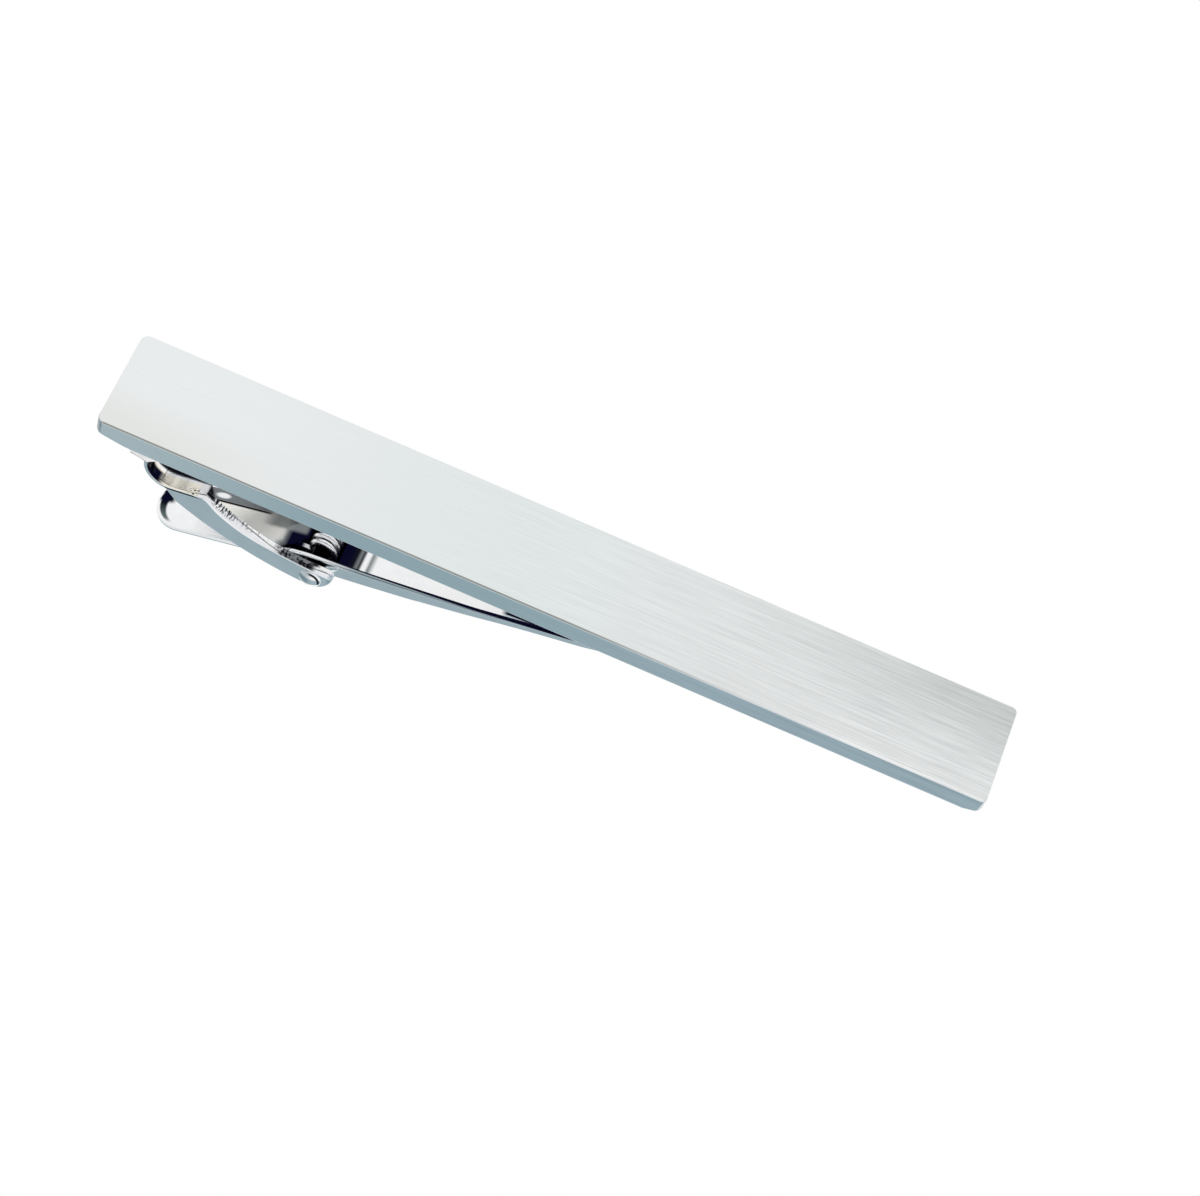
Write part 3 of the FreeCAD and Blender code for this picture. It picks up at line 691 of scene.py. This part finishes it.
# The lever is one thin plated stamping: a flat thumb pad with softened edges, a trough
# pressed under the pin, and a channel whose flanges taper out before the rounded tip.
PIN_REACH, PIN_DEPTH, PIN_RADIUS = 14.93, 6.55, 0.5
LEVER_SHEET, LEVER_HALF, TIP_HALF, LEAST_HALF = 0.35, 1.95, 1.4, 0.02
PAD_END, TIP_END, TIP_BEND, TAPER_START = (3.9, 9.75), 45.0, (42.6, 0.41), 32.0
HEEL, THROAT = (13.3, 7.08), (16.3, 6.62)
FLANGE = [(11.9, None), (12.9, 6.15), (14.2, 5.78), (16.3, 5.5), (18.2, 5.22), (20.0, 4.92),
          (25.0, 4.05), (30.0, 2.87), (36.0, None)]
FLANGE_ROUNDING, FLANGE_SAMPLES = 0.3, 4
ARM_BOW, BOW_FULL, BOW_END, TIP_ROUNDING = 0.47, 20.5, 29.0, 0.06
TROUGH_RADIUS, TROUGH_HALF, TROUGH_LIFT, TROUGH_FLARE, TROUGH_ROUNDING = 1.06, 1.12, 0.05, 3, 0.12
FOLD_RADIUS, LEVER_EDGE, PAD_EDGE, LEVER_BORE = 0.3, 0.06, 0.16, 0.54
EDGE_MARGIN = LEVER_EDGE / 10
BACK_SHARES, FLOOR_SHARES = (0.0, 0.3, 0.6, 0.85), (0.9, 0.75, 0.6, 0.4, 0.2, 0.0)
FOLD_STEPS, EDGE_STEPS, PAD_STEPS, TIP_STEPS, CIRCLE_STEPS = 6, 3, 24, 20, 48
# The heel's cream, the crescent's green and the crest's blue are painted reflections. HEEL_SHADE is
# painted shade, and GLINT is a painted highlight.
HEEL_CREAM_REFLECTION = (1.0, 0.97, 0.91)
HEEL_SHADE = (0.34, 0.36, 0.34)
CRESCENT_REFLECTION = (0.09, 0.12, 0.12)
CREST_REFLECTION = (0.34, 0.42, 0.46)
FORK_LEAN, RUN_LEAN, CREST_LEAN = 0.5, 0.12, 0.018
GLINT, GLINT_SIZE, CRESCENT_CENTRE = (7.6, 1.4), (0.5, 0.22), (6.05, -0.25)
HEEL_DULLNESS = 0.22
heel_slope = (PAD_END[1] - HEEL[1]) / (HEEL[0] - PAD_END[0])
arm_slope = (THROAT[1] - TIP_BEND[1]) / (TIP_BEND[0] - THROAT[0])
heel_drop = LEVER_SHEET * math.hypot(1, heel_slope)
arm_drop = LEVER_SHEET * math.hypot(1, arm_slope)
pad_centre, tip_centre = PAD_END[0] + LEVER_HALF, TIP_END - TIP_HALF


def deeper(first, second, rounding):
    """The greater of two depths, rounded where they cross."""
    return (first + second + math.hypot(first - second, rounding)) / 2


def sheet_line(reach):
    """Depth of the sheet's upper face, without the trough."""
    heel = PAD_END[1] - heel_drop - heel_slope * (reach - PAD_END[0])
    arm = THROAT[1] - arm_drop - arm_slope * (reach - THROAT[0])
    arm += between(ARM_BOW, 0.0, (reach - BOW_FULL) / (BOW_END - BOW_FULL))
    arm = deeper(arm, TIP_BEND[1] - LEVER_SHEET, TIP_ROUNDING)
    return between(heel, arm, (reach - HEEL[0]) / (THROAT[0] - HEEL[0]))


def trough_floor(reach):
    """Depth of the sheet's upper face, with the trough pressed into it."""
    off = abs(reach - PIN_REACH) / TROUGH_HALF
    pressed = PIN_DEPTH - TROUGH_LIFT
    if off < 1:
        pressed += TROUGH_RADIUS * math.sqrt(1 - off * off)
    else:
        pressed -= TROUGH_FLARE * (off - 1)
    return deeper(sheet_line(reach), pressed, TROUGH_ROUNDING)


def flange_crest(reach):
    """Depth of the flanges' crest, with its corners rounded."""
    samples = range(-FLANGE_SAMPLES, FLANGE_SAMPLES + 1)
    total = 0.0
    for sample in samples:
        r = reach + FLANGE_ROUNDING * sample / FLANGE_SAMPLES
        depth = sheet_line(r)
        for (r0, d0), (r1, d1) in zip(FLANGE, FLANGE[1:]):
            if r0 <= r < r1:
                start = sheet_line(r0) if d0 is None else d0
                stop = sheet_line(r1) if d1 is None else d1
                depth = start + (stop - start) * (r - r0) / (r1 - r0)
        total += depth
    return total / len(samples)


def half_width(reach):
    """Half of the lever's width, round at the pad and the tip and tapered between."""
    if reach < pad_centre:
        return math.sqrt(max(LEVER_HALF ** 2 - (pad_centre - reach) ** 2, 0.0))
    if reach > tip_centre:
        return math.sqrt(max(TIP_HALF ** 2 - (reach - tip_centre) ** 2, 0.0))
    taper = max(reach - TAPER_START, 0.0) / (tip_centre - TAPER_START)
    return LEVER_HALF + (TIP_HALF - LEVER_HALF) * taper


def lever_ring(reach):
    """The section of the lever at one reach, round from the middle of its back."""
    wide = max(half_width(reach), LEAST_HALF)
    floor_at = trough_floor(reach)
    drop = heel_drop if reach < PIN_REACH else arm_drop
    if reach > TIP_BEND[0]:
        drop = LEVER_SHEET
    back_at = floor_at + drop
    rise = max(floor_at - flange_crest(reach), 0.0)
    wall = min(LEVER_SHEET, wide / 2)
    edge = between(PAD_EDGE, LEVER_EDGE, rise / LEVER_SHEET) if reach < PIN_REACH else LEVER_EDGE
    edge = min(edge, wide / 3)
    lip = min(edge, rise / 2)
    inner = min(FOLD_RADIUS, rise / 2)
    outer = max(edge, min(FOLD_RADIUS + wall, rise / 2))
    half = [((wide - outer) * share, back_at) for share in BACK_SHARES]
    for angle in quarter(FOLD_STEPS):
        half.append((wide - outer + outer * math.sin(angle),
                     back_at - outer + outer * math.cos(angle)))
    crest = floor_at - rise
    for angle in quarter(EDGE_STEPS):
        half.append((wide - edge + edge * math.cos(angle), crest + edge - edge * math.sin(angle)))
    for angle in quarter(EDGE_STEPS):
        half.append((wide - wall + lip - lip * math.sin(angle), crest + lip - lip * math.cos(angle)))
    for angle in quarter(FOLD_STEPS):
        half.append((wide - wall - inner + inner * math.cos(angle),
                     floor_at - inner + inner * math.sin(angle)))
    side = wide - wall - inner
    half += [(side * share, floor_at) for share in FLOOR_SHARES]
    ring = half + [(-y, depth) for y, depth in half[-2:0:-1]]
    x = reach - BAR_LENGTH / 2
    return [(x, y, -BAR_THICKNESS - depth) for y, depth in ring]


def on_upper_face(point):
    """Whether a point of the lever lies on its upper face, inside its edges."""
    reach, depth = point.x / MM + BAR_LENGTH / 2, -point.z / MM - BAR_THICKNESS
    topside = depth < trough_floor(reach) + LEVER_EDGE
    return topside and abs(point.y / MM) < half_width(reach) - EDGE_MARGIN


# Each run of sections has its start and count. They stand closer where the sheet bends.
stations = [PAD_END[0] + LEVER_HALF * (1 - math.cos(angle)) for angle in quarter(PAD_STEPS)[1:-1]]
lever_runs = [(pad_centre, 16), (11.4, 24), (13.6, 60), (THROAT[0], 16), (18.0, 24),
              (31.4, 8), (32.6, 14), (41.8, 14), (tip_centre, 0)]
for (start, count), (stop, _) in zip(lever_runs, lever_runs[1:]):
    stations += spread(start, stop, count)
stations += [tip_centre + TIP_HALF * math.sin(angle) for angle in quarter(TIP_STEPS)[:-1]]
lever = new_piece("clip_lever_visual", *loft([lever_ring(reach) for reach in stations]))
pin_x, pin_z = spot(PIN_REACH, PIN_DEPTH)
circle = spread(0.0, math.tau, CIRCLE_STEPS)
bore = plate("bore", [(pin_x + LEVER_BORE * math.cos(a), pin_z + LEVER_BORE * math.sin(a))
                      for a in circle], -2 * LEVER_HALF, 2 * LEVER_HALF)
joined(lever, bore, "DIFFERENCE")
upper = lever.data.attributes.new("upper_face", "FLOAT", "POINT")
for index, vertex in enumerate(lever.data.vertices):
    upper.data[index].value = float(on_upper_face(vertex.co))
lever_metal, tree, finish, where = plated_metal("lever_plating")
reach, across = where["reach"], where["across"]
where["fork_lean"] = added(tree, reach, FORK_LEAN, across)
where["run_lean"] = added(tree, across, RUN_LEAN, reach)
where["crest_lean"] = added(tree, across, CREST_LEAN, reach)
where["off_glint"] = apart(tree, reach, across, GLINT, GLINT_SIZE)
where["off_pad"] = apart(tree, reach, across, (pad_centre, 0.0))
where["off_crescent"] = apart(tree, reach, across, CRESCENT_CENTRE)
where["shade_mottle"] = noise(tree, SHADE_MOTTLE, roughness=SPECK_ROUGHNESS)
# The lever's floor is painted with reflection and shade: bright along the heel, grey then navy shade
# down into the trough under the pin, then black, grey and bright bands where the floor rises out of it.
floor_reflection_and_shade = graded(tree, reach, [
    (6.0, BRIGHT), (11.8, BRIGHT), (12.3, GREY_SHADE), (12.7, NAVY_SHADE), (16.6, NAVY_SHADE),
    (17.0, BLACK_SHADE), (17.2, GREY_SHADE), (17.4, BLACK_SHADE), (17.55, BRIGHT), (17.75, BRIGHT),
    (17.95, GREY_SHADE), (18.3, BRIGHT), (19.0, BRIGHT)])
shade_tone = graded(tree, reach, [(11.0, HEEL_SHADE), (12.0, HEEL_SHADE), (12.7, GREY_SHADE)])
# Painted blue-grey reflection going over to navy shade, for the floor near the tip.
run_shade = graded(tree, where["run_lean"], [
    (1.74, BLUE_REFLECTION), (1.86, BLUE_REFLECTION), (1.93, NAVY_SHADE), (2.04, NAVY_SHADE)])
# The crest's painted reflection turns blue-grey beyond the pin.
crest_reflection = graded(tree, reach, [(12.0, PLATING), (15.0, PLATING), (17.4, CREST_REFLECTION)])
# A crescent of painted reflection near the pad's end: grey, green, black and navy across it.
crescent_reflection = graded(tree, across, [
    (-1.6, GREY_SHADE), (-1.0, CRESCENT_REFLECTION), (-0.3, BLACK_SHADE), (0.2, NAVY_SHADE), (1.0, NAVY_SHADE)])
on_heel = dict(reach=(6.4, 6.9, 10.8, 11.2))
floor_reflection_and_shade = painted(tree, floor_reflection_and_shade, where, [
    # Laid over the floor: a painted cream reflection along the heel's near side; on the heel, a painted
    # grey reflection of the far arm with a black line and a painted highlight; painted black shade
    # beside the fork; and painted shade under the bar.
    (HEEL_CREAM_REFLECTION, dict(across=(-1.0, -0.6), reach=(6.4, 7.0, 11.9, 12.5))),
    (GREY_SHADE, dict(on_heel, across=(0.95, 1.1))),
    (BRIGHT, dict(off_glint=(1.2, 0.6))),
    (BLACK_SHADE, dict(on_heel, across=(0.84, 0.92, 1.0, 1.08))),
    (BLACK_SHADE, dict(fork_lean=(7.75, 7.55), across=(0.4, 0.6))),
    (shade_tone, dict(reach=(10.4, 11.5, 13.4, 13.7), across=(-0.05, 0.3, 1.5, 1.6))),
    # Painted shade near the tip, navy shade painted along the flange's root inside the channel, and the
    # crest's painted reflection.
    (run_shade, dict(reach=(26.6, 27.1, 29.6, 30.4), across=(-0.9, -1.1))),
    (NAVY_SHADE, dict(across=(-1.48, -1.56), reach=(12.4, 12.8, 31.0, 32.5))),
    (crest_reflection, dict(crest_lean=(-1.385, -1.435), reach=(11.9, 12.3))),
    # The pad's painted crescent reflection, and navy shade painted on the far half of its end.
    (crescent_reflection, dict(off_crescent=(1.38, 1.54), off_pad=(1.8, 1.7), reach=(5.6, 5.0), across=(-1.7, -1.3))),
    (NAVY_SHADE, dict(across=(-0.3, 0.05), reach=(5.1, 4.7), off_pad=(1.9, 1.8)))])
# Painted shade on the flanges' outer faces between the ears: grey, then black by the pin, then a bright
# painted highlight beyond it. Black mottle breaks it up.
gap_shade = graded(tree, reach, [
    (12.7, GREY_SHADE), (14.2, GREY_SHADE), (14.6, BLACK_SHADE), (15.2, BLACK_SHADE), (15.6, BRIGHT)])
gap_shade = painted(tree, gap_shade, where, [(BLACK_SHADE, dict(shade_mottle=(0.45, 0.58)))])
on_top = add_node(tree, "ShaderNodeAttribute", attribute_name="upper_face").outputs["Fac"]
tone = painted(tree, mixed(tree, on_top, PLATING, floor_reflection_and_shade), where, [
    (gap_shade, dict(out=(1.89, 1.93), reach=(12.7, 13.1, 15.4, 15.7)))])
tree.links.new(tone, finish.inputs["Tone"])
dull = times(tree, on_top, zone(tree, where, reach=(6.4, 7.0, 12.0, 12.6)))
dull = ranged(tree, dull, (0.0, 1.0), (0.0, HEEL_DULLNESS))
tree.links.new(dull, finish.inputs["Dullness"])
lever.data.materials.clear()
lever.data.materials.append(lever_metal)
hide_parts("clip_lever")
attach(lever, "lever")

# The pin is a plated rivet through the ears and the lever, with a low domed head
# upset on each end.
PIN_HEAD_RADIUS, PIN_HEAD_HEIGHT, PIN_HEAD_RIM = 0.75, 0.28, 0.03
PIN_HEAD_STEPS, PIN_HEAD_CROWN, PIN_STEP = 12, 0.004, 0.001
HEAD_REFLECTION = (0.5, 0.55, 0.57)
dome = PIN_HEAD_HEIGHT - PIN_HEAD_RIM
dome_radius = (PIN_HEAD_RADIUS ** 2 + dome ** 2) / (2 * dome)
head = []
for step in range(PIN_HEAD_STEPS + 1):
    radius = PIN_HEAD_RADIUS * step / PIN_HEAD_STEPS
    fall = dome_radius - math.sqrt(dome_radius ** 2 - radius ** 2)
    head.append((max(radius, PIN_HEAD_CROWN), half_bracket + PIN_HEAD_HEIGHT - fall))
head += [(PIN_HEAD_RADIUS, half_bracket + PIN_HEAD_RIM / 2),
         (PIN_HEAD_RADIUS, half_bracket), (PIN_RADIUS, half_bracket - PIN_STEP)]
turned = [(radius, -y) for radius, y in head] + [(radius, y) for radius, y in head[::-1]]
pin = new_piece("hinge_pin_visual", *loft([
    [(pin_x + radius * math.cos(a), y, pin_z + radius * math.sin(a)) for a in circle]
    for radius, y in turned]))
pin_metal, tree, finish, where = plated_metal("pin_plating")
where["off_pin"] = apart(tree, where["reach"], where["depth"], (PIN_REACH, PIN_DEPTH))
where["slant"] = added(tree, where["reach"], -1.0, where["depth"])
lit = PIN_REACH - PIN_DEPTH
# The head is painted with reflection: grey, with a bright band across its middle and a black arc near
# its rim on the upper right. The shank inside the lever is painted navy shade.
head_reflection_and_shade = painted(tree, HEAD_REFLECTION, where, [
    (BRIGHT, dict(reach=(PIN_REACH - 0.3, PIN_REACH + 0.25))),
    (BLACK_SHADE, dict(off_pin=(0.5, 0.56, 0.64, 0.68), slant=(lit + 0.3, lit + 0.6))),
    (NAVY_SHADE, dict(out=(half_bracket - 0.2, half_bracket - 0.4)))])
tree.links.new(head_reflection_and_shade, finish.inputs["Tone"])
pin.data.materials.append(pin_metal)
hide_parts("hinge_pin")
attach(pin, "bar")

# The spring is one drawn wire: a leg under the bracket's web, a close coil round the
# pin, and a short leg that leaves the coil with a knee and lies on the lever's heel.
SPRING_WIRE, SPRING_PITCH, COIL_RADIUS, SEAT_GAP = 0.4, 0.5, 0.78, 0.03
COIL_MIDDLE = -0.25
SPRING_WHOLE_TURNS, LEAVE_TURN = 2, math.radians(190)
WEB_LEG_REACH, HEEL_LEG_REACH = 6.6, 13.2
COIL_STEPS, KNEE_STEPS, WIRE_SIDES = 120, 12, 20
LEG_SHADE, WIRE_DULLNESS = (13.9, 13.6), 0.2
half_wire = SPRING_WIRE / 2 + SEAT_GAP
web_depth = fork_low + (FORK_REACH - WEB_LEG_REACH) * slope + half_wire / cosine
web_end = Vector(spot(WEB_LEG_REACH, web_depth)) - Vector((pin_x, pin_z))
heel_depth = HEEL[1] + heel_slope * (HEEL[0] - HEEL_LEG_REACH) - heel_drop
heel_depth -= half_wire * math.hypot(1, heel_slope)
heel_end = Vector(spot(HEEL_LEG_REACH, heel_depth)) - Vector((pin_x, pin_z))


def around(turn, radius=1.0):
    """The point at a turn about the pin's axis."""
    return Vector((math.cos(turn), math.sin(turn))) * radius


start_turn = math.atan2(web_end.y, web_end.x) - math.acos(COIL_RADIUS / web_end.length)
sweep = SPRING_WHOLE_TURNS * math.tau + start_turn + math.tau - LEAVE_TURN
half_coil = SPRING_PITCH * sweep / math.tau / 2
knee_turn = math.radians(270) + math.atan(heel_slope) - LEAVE_TURN
leave = around(LEAVE_TURN)
knee_run = leave - around(LEAVE_TURN + knee_turn)
gap = heel_end - leave * COIL_RADIUS
knee_radius = (gap.y - gap.x * heel_slope) / (knee_run.y - knee_run.x * heel_slope)
knee_centre = leave * (COIL_RADIUS + knee_radius)
wire_path = [(web_end, half_coil)]
for step in range(COIL_STEPS + 1):
    share = step / COIL_STEPS
    wire_path.append((around(start_turn - sweep * share, COIL_RADIUS), half_coil * (1 - 2 * share)))
for step in range(1, KNEE_STEPS + 1):
    turn = LEAVE_TURN - math.pi + knee_turn * step / KNEE_STEPS
    wire_path.append((knee_centre + around(turn, knee_radius), -half_coil))
wire_path.append((heel_end, -half_coil))

wire_curve = bpy.data.curves.new("wire_path", "CURVE")
wire_curve.dimensions = "3D"
strand = wire_curve.splines.new("POLY")
strand.points.add(len(wire_path) - 1)
for point, (off, y) in zip(strand.points, wire_path):
    point.co = ((pin_x + off.x) * MM, (COIL_MIDDLE + y) * MM, (pin_z + off.y) * MM, 1.0)
spring = bpy.data.objects.new("torsion_spring_visual", wire_curve)
scene.collection.objects.link(spring)
spring_metal, tree, finish, where = plated_metal("spring_wire")
# The wire is bright, with navy shade painted on the leg that lies on the lever's heel.
wire_tone = painted(tree, BRIGHT, where, [(NAVY_SHADE, dict(reach=LEG_SHADE))])
tree.links.new(wire_tone, finish.inputs["Tone"])
finish.inputs["Dullness"].default_value = WIRE_DULLNESS

drawing = bpy.data.node_groups.new("drawn_wire", "GeometryNodeTree")
drawing.interface.new_socket("Path", in_out="INPUT", socket_type="NodeSocketGeometry")
for name, kind in (("Wire radius", "NodeSocketFloat"), ("Sides", "NodeSocketInt"),
                   ("Metal", "NodeSocketMaterial")):
    drawing.interface.new_socket(name, in_out="INPUT", socket_type=kind)
drawing.interface.new_socket("Wire", in_out="OUTPUT", socket_type="NodeSocketGeometry")
given = add_node(drawing, "NodeGroupInput").outputs
profile = add_node(drawing, "GeometryNodeCurvePrimitiveCircle",
                   {"Resolution": given["Sides"], "Radius": given["Wire radius"]})
tube = add_node(drawing, "GeometryNodeCurveToMesh",
                {"Curve": given["Path"], "Profile Curve": profile.outputs[0]}, {"Fill Caps": True})
whole = add_node(drawing, "GeometryNodeRealizeInstances", {0: tube.outputs[0]})
smooth = add_node(drawing, "GeometryNodeSetShadeSmooth", {0: whole.outputs[0]})
clad = add_node(drawing, "GeometryNodeSetMaterial",
                {"Geometry": smooth.outputs[0], "Material": given["Metal"]})
add_node(drawing, "NodeGroupOutput", {0: clad.outputs[0]})
wound = spring.modifiers.new("drawn_wire", "NODES")
wound.node_group = drawing
sockets = {item.name: item.identifier for item in drawing.interface.items_tree}
wound[sockets["Wire radius"]] = SPRING_WIRE / 2 * MM
wound[sockets["Sides"]] = WIRE_SIDES
wound[sockets["Metal"]] = spring_metal
graph = bpy.context.evaluated_depsgraph_get()
wire_mesh = bpy.data.meshes.new_from_object(spring.evaluated_get(graph))
bpy.data.objects.remove(spring)
spring = bpy.data.objects.new("torsion_spring_visual", wire_mesh)
scene.collection.objects.link(spring)
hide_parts("torsion_spring")
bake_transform(spring)
